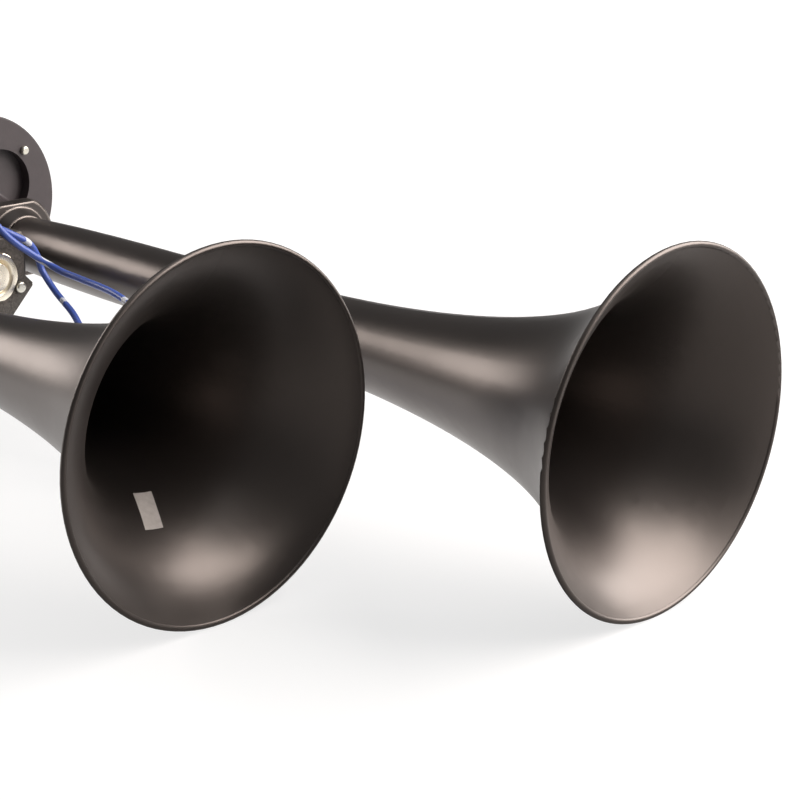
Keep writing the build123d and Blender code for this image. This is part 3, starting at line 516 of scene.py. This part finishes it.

# %% [markdown]
# The ring nuts on the trumpets are blackened. The black is only a thin skin,
# so the nut keeps a metal's grey sheen. Its edges are painted a lighter grey:
# partly bare metal where a wrench rubs them, partly a painted highlight along
# the edge. That could be painted by hand, but a Bevel node finds the edges by
# itself: it gives the normal as if they were round, and where that differs
# from the true one, the colour mixes to the light grey.

# %% Blackened steel
EDGE_ROUND_R = 0.0015
blackened, tree, shader, place = new_finish("blackened_steel", "#4A4543", 0.38, metallic=0.75)
soft_edge = add_node(tree, "ShaderNodeBevel", samples=6, Radius=EDGE_ROUND_R).outputs["Normal"]
true_normal = add_node(tree, "ShaderNodeNewGeometry").outputs["Normal"]
alike = add_node(tree, "ShaderNodeVectorMath", operation="DOT_PRODUCT", in0=soft_edge, in1=true_normal)
# The lighter edge band is part rubbed metal, part painted highlight.
worn_and_highlit_edge = add_node(
    tree,
    "ShaderNodeMapRange",
    Value=alike.outputs["Value"],
    From_Min=0.995,
    From_Max=0.93,
)
# Edges mix to light grey: wear and a painted highlight together.
add_node(
    tree,
    "ShaderNodeMix",
    to=shader.inputs["Base Color"],
    data_type="RGBA",
    in0=worn_and_highlit_edge.outputs["Result"],
    in6=linear("#4A4543"),
    in7=linear("#9A918B"),
)
tree.links.new(soft_edge, shader.inputs["Normal"])
salts = add_node(tree, "ShaderNodeTexNoise", Vector=place, Scale=per_metre(3), Detail=4.0)
add_node(
    tree,
    "ShaderNodeMapRange",
    to=shader.inputs["Roughness"],
    Value=salts.outputs["Fac"],
    To_Min=0.3,
    To_Max=0.46,
)
paint(blackened, "lock_nuts")

# %% [markdown]
# The bracket is folded steel with a black powder coat. Powder flows together
# as it bakes and leaves rounded pebbles about a millimetre across, which a
# smooth Voronoi pattern shows better than noise does.

# %% Black powder coat
powder_coat, tree, shader, place = new_finish("black_powder_coat", "#1A1A1A", 0.42, IOR=1.5)
pebbles = add_node(
    tree, "ShaderNodeTexVoronoi", feature="SMOOTH_F1", Vector=place, Scale=per_metre(1.1), Smoothness=0.8
)
add_node(
    tree,
    "ShaderNodeBump",
    to=shader.inputs["Normal"],
    invert=True,
    Strength=0.3,
    Distance=0.0002,
    Height=pebbles.outputs["Distance"],
)
paint(powder_coat, "bracket")

# %% [markdown]
# The yoke is a steel strap, phosphated after it was punched and bent. Zinc
# phosphate grows as small dark crystals, so the sheet is a matt, mottled grey
# with no clear highlight. Voronoi cells stand for the crystals, drawn coarser
# than they are so that the mottling shows.

# %% Phosphated steel
phosphated, tree, shader, place = new_finish("phosphated_steel", "#55504C", 0.5, metallic=0.6)
crystals = add_node(tree, "ShaderNodeTexVoronoi", Vector=place, Scale=per_metre(0.9))
add_node(
    tree,
    "ShaderNodeMix",
    to=shader.inputs["Base Color"],
    data_type="RGBA",
    in0=crystals.outputs["Color"],
    in6=linear("#46423E"),
    in7=linear("#6A645F"),
)
add_node(
    tree,
    "ShaderNodeBump",
    to=shader.inputs["Normal"],
    Strength=0.15,
    Distance=0.0001,
    Height=crystals.outputs["Distance"],
)
strap_mesh.materials.clear()
strap_mesh.materials.append(phosphated)
print(phosphated.name, "on the yoke strap")

# %% [markdown]
# The valve body is aluminium bar, milled and then anodised black. The dye lies
# in a clear oxide over bright metal, so it keeps a metal's highlight and the
# fine lines of the cutter, which run along the bar.

# %% Black anodised aluminium
anodised, tree, shader, place = new_finish("black_anodised_aluminium", "#24211F", 0.36, metallic=1.0)
along_bar = add_node(tree, "ShaderNodeMapping", Vector=place, Scale=(0.05, 1.0, 1.0))
cutter = add_node(
    tree, "ShaderNodeTexNoise", Vector=along_bar.outputs["Vector"], Scale=per_metre(0.6), Detail=2.0
)
add_node(
    tree,
    "ShaderNodeMapRange",
    to=shader.inputs["Roughness"],
    Value=cutter.outputs["Fac"],
    To_Min=0.28,
    To_Max=0.46,
)
add_node(
    tree,
    "ShaderNodeBump",
    to=shader.inputs["Normal"],
    Strength=0.1,
    Distance=0.0001,
    Height=cutter.outputs["Fac"],
)
paint(anodised, "valve_body")

# %% [markdown]
# The solenoid's nut and the stud end in it are steel, turned and then nickel
# plated bright. The plate is thin and shows the lathe's rings, centred on the
# solenoid. They are a wave texture in rings about the X axis, moved to the
# coil's height, and drawn 5.65 mm apart, many times the lathe's feed, so that
# they show as soft bands. A wave texture turns by 20 radians in one unit, so
# WAVE makes its scale count whole waves.

# %% Bright nickel plate
WAVE = 2 * pi / 20
nickel, tree, shader, place = new_finish("bright_nickel_plate", "#EDE4D3", 0.2, metallic=1.0)
about_axis = add_node(tree, "ShaderNodeMapping", Vector=place, Location=(0.0, 0.0, -MM * COIL_Z))
rings = add_node(
    tree,
    "ShaderNodeTexWave",
    wave_type="RINGS",
    rings_direction="X",
    Vector=about_axis.outputs["Vector"],
    Scale=per_metre(5.65) * WAVE,
    Distortion=0.4,
)
add_node(
    tree,
    "ShaderNodeMapRange",
    to=shader.inputs["Roughness"],
    Value=rings.outputs["Fac"],
    To_Min=0.16,
    To_Max=0.3,
)
add_node(
    tree,
    "ShaderNodeBump",
    to=shader.inputs["Normal"],
    Strength=0.25,
    Distance=0.00005,
    Height=rings.outputs["Fac"],
)
paint(nickel, "coil_nut", "fixed_core")

# %% [markdown]
# The screws, nuts, washers and bolts are steel with bright zinc. The plate is
# a cool silver with a slight yellow from its passivation, and handling has
# dulled it in patches.

# %% Bright zinc plate
zinc, tree, shader, place = new_finish("bright_zinc_plate", "#CFCCC2", 0.28, metallic=1.0)
passivation = add_node(tree, "ShaderNodeTexNoise", Vector=place, Scale=per_metre(2.5), Detail=4.0)
add_node(
    tree,
    "ShaderNodeMix",
    to=shader.inputs["Base Color"],
    data_type="RGBA",
    in0=passivation.outputs["Fac"],
    in6=linear("#BDBDBA"),
    in7=linear("#DCD6C4"),
)
add_node(
    tree,
    "ShaderNodeMapRange",
    to=shader.inputs["Roughness"],
    Value=passivation.outputs["Fac"],
    To_Min=0.2,
    To_Max=0.4,
)
paint(zinc, "cover_screws", "cover_nuts", "valve_screws", "yoke_screws", "bracket_washers", "bracket_bolts")

# %% [markdown]
# The plunger inside the solenoid is ground steel bar. Grinding leaves fine
# lines round the bar, so the noise stays fine along X and is drawn out ten
# times across it.

# %% Ground steel
ground_steel, tree, shader, place = new_finish("ground_steel", "#A9A7A3", 0.3, metallic=1.0)
round_bar = add_node(tree, "ShaderNodeMapping", Vector=place, Scale=(1.0, 0.1, 0.1))
lines = add_node(
    tree, "ShaderNodeTexNoise", Vector=round_bar.outputs["Vector"], Scale=per_metre(0.4), Detail=2.0
)
add_node(
    tree,
    "ShaderNodeBump",
    to=shader.inputs["Normal"],
    Strength=0.15,
    Distance=0.00005,
    Height=lines.outputs["Fac"],
)
paint(ground_steel, "plunger")

# %% [markdown]
# The diaphragms are rolled spring steel and the return spring is drawn wire of
# the same steel. Rolling leaves long straight streaks, here along Z. They are
# a noise stretched 25 times that way and put into the roughness alone.

# %% Rolled spring steel
spring_steel, tree, shader, place = new_finish("rolled_spring_steel", "#9C9B9A", 0.32, metallic=1.0)
rolled = add_node(tree, "ShaderNodeMapping", Vector=place, Scale=(1.0, 1.0, 0.04))
streaks = add_node(
    tree, "ShaderNodeTexNoise", Vector=rolled.outputs["Vector"], Scale=per_metre(0.7), Detail=3.0
)
add_node(
    tree,
    "ShaderNodeMapRange",
    to=shader.inputs["Roughness"],
    Value=streaks.outputs["Fac"],
    To_Min=0.22,
    To_Max=0.42,
)
paint(spring_steel, "long_diaphragm", "short_diaphragm", "plunger_spring")

# %% [markdown]
# The guide tube is brass because brass isn't magnetic. It is turned from bar,
# so it has rings round X as the nut has, drawn a little finer, and it has begun
# to tarnish to a deeper brown in patches of about 5 mm.

# %% Turned brass
brass, tree, shader, place = new_finish("turned_brass", "#C9A45B", 0.26, metallic=1.0)
tarnish = add_node(tree, "ShaderNodeTexNoise", Vector=place, Scale=per_metre(5), Detail=4.0)
add_node(
    tree,
    "ShaderNodeMix",
    to=shader.inputs["Base Color"],
    data_type="RGBA",
    in0=tarnish.outputs["Fac"],
    in6=linear("#B58C47"),
    in7=linear("#D9BB77"),
)
feed = add_node(
    tree, "ShaderNodeTexWave", bands_direction="X", Vector=place, Scale=per_metre(3.77) * WAVE
)
add_node(
    tree,
    "ShaderNodeBump",
    to=shader.inputs["Normal"],
    Strength=0.15,
    Distance=0.00005,
    Height=feed.outputs["Fac"],
)
paint(brass, "guide_tube")

# %% [markdown]
# Gaskets, O-ring, seal and the leads' sleeves are moulded nitrile rubber. It
# is the dullest black here, a little brown, with the faint grain of its sheet.

# %% Nitrile rubber
rubber, tree, shader, place = new_finish("nitrile_rubber", "#1E1D1C", 0.7, IOR=1.52)
sheet_grain = add_node(tree, "ShaderNodeTexNoise", Vector=place, Scale=per_metre(0.6), Detail=3.0)
add_node(
    tree,
    "ShaderNodeBump",
    to=shader.inputs["Normal"],
    Strength=0.25,
    Distance=0.0001,
    Height=sheet_grain.outputs["Fac"],
)
add_node(
    tree,
    "ShaderNodeMapRange",
    to=shader.inputs["Roughness"],
    Value=sheet_grain.outputs["Fac"],
    To_Min=0.6,
    To_Max=0.8,
)
paint(rubber, "long_gasket", "short_gasket", "valve_o_ring", "plunger_seal", "lead_sleeves")

# %% [markdown]
# The leads' insulation is extruded PVC, a clear mid blue with a soft gloss.
# Short white rings stand round it at long steps. They lie where a slow wave
# through space is at its crest: its direction was chosen to run along both
# leads.

# %% Blue PVC with white rings
RING_STEP = 71.0
RING_PHASE = 0.25 - 146.4 / RING_STEP
RING_CREST = 0.985
ALONG_LEADS = (1.0, -0.914, 0.6345)
blue_pvc, tree, shader, place = new_finish("extruded_blue_pvc", "#4A62B4", 0.34, IOR=1.53)
run = add_node(tree, "ShaderNodeVectorMath", operation="DOT_PRODUCT", in0=place, in1=ALONG_LEADS)
turns = add_node(
    tree,
    "ShaderNodeMath",
    operation="MULTIPLY_ADD",
    in0=run.outputs["Value"],
    in1=2 * pi * per_metre(RING_STEP),
    in2=2 * pi * RING_PHASE,
)
wave = add_node(tree, "ShaderNodeMath", operation="SINE", in0=turns.outputs[0])
white_ring = add_node(tree, "ShaderNodeMath", operation="GREATER_THAN", in0=wave.outputs[0], in1=RING_CREST)
add_node(
    tree,
    "ShaderNodeMix",
    to=shader.inputs["Base Color"],
    data_type="RGBA",
    in0=white_ring.outputs[0],
    in6=linear("#4A62B4"),
    in7=linear("#D8DCE6"),
)
draw_lines = add_node(tree, "ShaderNodeTexNoise", Vector=place, Scale=per_metre(1.5), Detail=2.0)
add_node(
    tree,
    "ShaderNodeMapRange",
    to=shader.inputs["Roughness"],
    Value=draw_lines.outputs["Fac"],
    To_Min=0.24,
    To_Max=0.4,
)
for lead in (front_lead, rear_lead):
    lead.data.materials.append(blue_pvc)
print(blue_pvc.name, "on the two leads")

# %% [markdown]
# The leads' ends are stripped, twisted and dipped in solder. The strands still
# show through the tin as slanting ridges. They are a wave along the diagonal,
# drawn some 4 mm from ridge to ridge, far coarser than the strands, to show.

# %% Tinned copper strands
tinned, tree, shader, place = new_finish("tinned_copper_strands", "#C4C3BE", 0.34, metallic=1.0)
strands = add_node(
    tree,
    "ShaderNodeTexWave",
    bands_direction="DIAGONAL",
    Vector=place,
    Scale=per_metre(3.14) * WAVE,
    Distortion=0.5,
)
add_node(
    tree,
    "ShaderNodeBump",
    to=shader.inputs["Normal"],
    Strength=0.6,
    Distance=0.0001,
    Height=strands.outputs["Fac"],
)
paint(tinned, "lead_tips")

# %% [markdown]
# A small blank paper label is stuck inside the short bell. It has to lie on a
# wall that curves both ways, so its four corners give a flat grid, and each
# point of the grid is dropped onto the bell along the label's own normal. A
# lower copy of the grid, joined along the edge, gives the paper its thickness.

# %% Label
LABEL_CORNERS = (
    Vector((0.28985, -0.06884, 0.04112)),
    Vector((0.29128, -0.06086, 0.04040)),
    Vector((0.30826, -0.06911, 0.03234)),
    Vector((0.30912, -0.07870, 0.03406)),
)
LABEL_ACROSS = 8
LABEL_DOWN = 18
PAPER = 0.00015
GLUE = 0.00004
DROP = 0.01
bell = BVHTree.FromPolygons(
    [v.co.copy() for v in nodes["short_trumpet"].data.vertices],
    [list(f.vertices) for f in nodes["short_trumpet"].data.polygons],
)
top_left, top_right, bottom_right, bottom_left = LABEL_CORNERS
label_up = (top_right - top_left).cross(bottom_left - top_left).normalized()
label_up *= 1 if label_up.z > 0 else -1


def on_bell(across, down, lift):
    """A point of the label, dropped onto the bell and lifted off it."""
    above = top_left.lerp(top_right, across).lerp(bottom_left.lerp(bottom_right, across), down)
    hit = bell.ray_cast(above + DROP * label_up, -label_up)[0]
    return hit + lift * label_up


grid = []
for row in range(LABEL_DOWN + 1):
    for column in range(LABEL_ACROSS + 1):
        grid.append((column / LABEL_ACROSS, row / LABEL_DOWN))
points = [on_bell(across, down, PAPER) for across, down in grid]
points += [on_bell(across, down, GLUE) for across, down in grid]
width = LABEL_ACROSS + 1
under = len(grid)
faces = []
for row in range(LABEL_DOWN):
    for column in range(LABEL_ACROSS):
        a = row * width + column
        quad = (a, a + 1, a + 1 + width, a + width)
        faces.append(quad)
        faces.append(tuple(under + corner for corner in reversed(quad)))
edge = list(range(width))
edge += [row * width + LABEL_ACROSS for row in range(1, LABEL_DOWN + 1)]
edge += [LABEL_DOWN * width + column for column in range(LABEL_ACROSS - 1, -1, -1)]
edge += [row * width for row in range(LABEL_DOWN - 1, 0, -1)]
for a, b in zip(edge, edge[1:] + edge[:1]):
    faces.append((b, a, a + under, b + under))
label_mesh = bpy.data.meshes.new("bell_label")
label_mesh.from_pydata(points, [], faces)
label = bpy.data.objects.new("bell_label", label_mesh)
bpy.context.scene.collection.objects.link(label)
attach(label, "horn")
label_sides = (top_right - top_left, bottom_left - top_left)
print("label", [round(side.length / MM, 1) for side in label_sides], "mm")

# %% [markdown]
# The label's paper is coated and has gone grey with handling. It is pale and
# matt, with soft darker smudges a few millimetres across.

# %% Coated paper
paper, tree, shader, place = new_finish("coated_label_paper", "#CFC6C1", 0.6, IOR=1.5)
smudges = add_node(tree, "ShaderNodeTexNoise", Vector=place, Scale=per_metre(3), Detail=4.0)
add_node(
    tree,
    "ShaderNodeMix",
    to=shader.inputs["Base Color"],
    data_type="RGBA",
    in0=smudges.outputs["Fac"],
    in6=linear("#A8A09B"),
    in7=linear("#D2CBC6"),
)
label_mesh.materials.append(paper)
print(paper.name, "on the label")

# %% [markdown]
# The floor is a wide pale sheet, far larger than the view, so that it is the
# whole background. A many-sided disc is enough for that.

# %% Floor
FLOOR_R = 9.0
FLOOR_SIDES = 96
floor_mesh = bpy.data.meshes.new("floor")
floor_turns = [2 * pi * k / FLOOR_SIDES for k in range(FLOOR_SIDES)]
floor_points = [(FLOOR_R * cos(t), FLOOR_R * sin(t), 0.0) for t in floor_turns]
floor_mesh.from_pydata(floor_points, [], [list(range(FLOOR_SIDES))])
floor = bpy.data.objects.new("floor", floor_mesh)
bpy.context.scene.collection.objects.link(floor)
print("floor radius", FLOOR_R, "m")

# %% [markdown]
# The sheet itself is a plain grey, so that it throws little light back up at
# the horn. A Light Path node then adds two glows that light nothing. The one
# that the camera sees lifts the sheet to white and leaves the soft shadow. It
# is weaker under the horn, where the lamps light the sheet as well. The other
# is what glossy surfaces mirror: bright behind the bells, which draws the pale
# band along the undersides, and none in front, so the bells stay dark inside.

# %% Pale paper sheet
GLOW_CENTRE = (0.25, 0.0, 0.0)
WHITE_NEAR = 0.3
WHITE_FAR = 1.2
WHITE_UNDER = 0.72
WHITE_FULL = 1.0
FORWARD = (0.906, -0.42, 0.0)
GLOSS_BACK = 0.24
GLOSS_FRONT = 0.36
GLOSS_BEHIND = 0.9
GLOSS_AHEAD = 0.0
pale_sheet, tree, shader, place = new_finish("pale_paper_sheet", "#929292", 0.9)
rays = add_node(tree, "ShaderNodeLightPath").outputs
mirrored = add_node(
    tree,
    "ShaderNodeMath",
    operation="MAXIMUM",
    in0=rays["Is Glossy Ray"],
    in1=rays["Is Transmission Ray"],
)
away = add_node(
    tree, "ShaderNodeVectorMath", operation="DISTANCE", in0=place, in1=GLOW_CENTRE
)
forward = add_node(
    tree, "ShaderNodeVectorMath", operation="DOT_PRODUCT", in0=place, in1=FORWARD
)
glows = []
for ray, measure, first, last, first_glow, last_glow in (
    (rays["Is Camera Ray"], away, WHITE_NEAR, WHITE_FAR, WHITE_UNDER, WHITE_FULL),
    (mirrored.outputs[0], forward, GLOSS_BACK, GLOSS_FRONT, GLOSS_BEHIND, GLOSS_AHEAD),
):
    glow = add_node(
        tree,
        "ShaderNodeMapRange",
        interpolation_type="SMOOTHSTEP",
        Value=measure.outputs["Value"],
        From_Min=first,
        From_Max=last,
        To_Min=first_glow,
        To_Max=last_glow,
    )
    seen_glow = add_node(
        tree, "ShaderNodeMath", operation="MULTIPLY", in0=ray, in1=glow.outputs["Result"]
    )
    glows.append(seen_glow.outputs[0])
shader.inputs["Emission Color"].default_value = linear("#FFFFFF")
add_node(
    tree,
    "ShaderNodeMath",
    to=shader.inputs["Emission Strength"],
    operation="ADD",
    in0=glows[0],
    in1=glows[1],
)
floor_mesh.materials.append(pale_sheet)
print(pale_sheet.name, "on the floor, glows:", len(glows))

# %% [markdown]
# The room is pale near the horizon and dim overhead, as in a studio with a
# dark ceiling, so the tops of the tubes stay black. The camera itself sees it
# white, through a Light Path node, so the background is one white from any side.

# %% Room
HORIZON_GLOW = 0.32
CEILING_GLOW = 0.12
CEILING_FROM = 8
world = bpy.data.worlds.new("room")
bpy.context.scene.world = world
world.use_nodes = True
tree = world.node_tree
sky = tree.nodes["Background"]
look = add_node(tree, "ShaderNodeTexCoord")
height = add_node(tree, "ShaderNodeSeparateXYZ", Vector=look.outputs["Generated"])
fade = add_node(
    tree,
    "ShaderNodeMapRange",
    interpolation_type="SMOOTHSTEP",
    Value=height.outputs["Z"],
    From_Min=0.0,
    From_Max=sin(radians(CEILING_FROM)),
    To_Min=HORIZON_GLOW,
    To_Max=CEILING_GLOW,
)
seen = add_node(tree, "ShaderNodeLightPath").outputs["Is Camera Ray"]
add_node(
    tree,
    "ShaderNodeMath",
    to=sky.inputs["Strength"],
    operation="MAXIMUM",
    in0=fade.outputs["Result"],
    in1=seen,
)
sky.inputs["Color"].default_value = linear("#FFFFFF")
print("room: pale to the horizon, dim above", CEILING_FROM, "degrees")

# %% [markdown]
# Three soft lamps at a plain level. The large one on the right shows in the
# lower inside of the bells and along the tubes, the small one low on the left
# lights the backs of the flares, and the wide one overhead only softens the
# shadow. Their size, not their strength, sets how broad each highlight is.

# %% Lamps
def soft_lamp(name, place, aim, size, radiance, tint):
    """An area lamp of that size; radiance is what it shows in a mirror."""
    lamp = bpy.data.lights.new(name, "AREA")
    lamp.shape = "RECTANGLE"
    lamp.size, lamp.size_y = size
    lamp.energy = radiance * pi * size[0] * size[1]
    lamp.color = linear(tint)[:3]
    holder = bpy.data.objects.new(name, lamp)
    holder.location = place
    toward = Vector(aim) - Vector(place)
    holder.rotation_euler = toward.to_track_quat("-Z", "Y").to_euler()
    bpy.context.scene.collection.objects.link(holder)
    print(name, round(lamp.energy, 1), "W")


WARM = "#FFF8F3"
soft_lamp("right_lamp", (1.05, 0.93, 0.83), (0.4, 0.0, 0.05), (1.65, 1.35), 6.6, WARM)
soft_lamp("left_lamp", (-0.5, -0.28, 0.36), (0.25, 0.0, 0.08), (0.4, 0.42), 5.5, WARM)
soft_lamp("top_lamp", (0.3, 0.1, 2.2), (0.3, 0.0, 0.0), (2.0, 2.0), 0.6, "#FFFFFF")
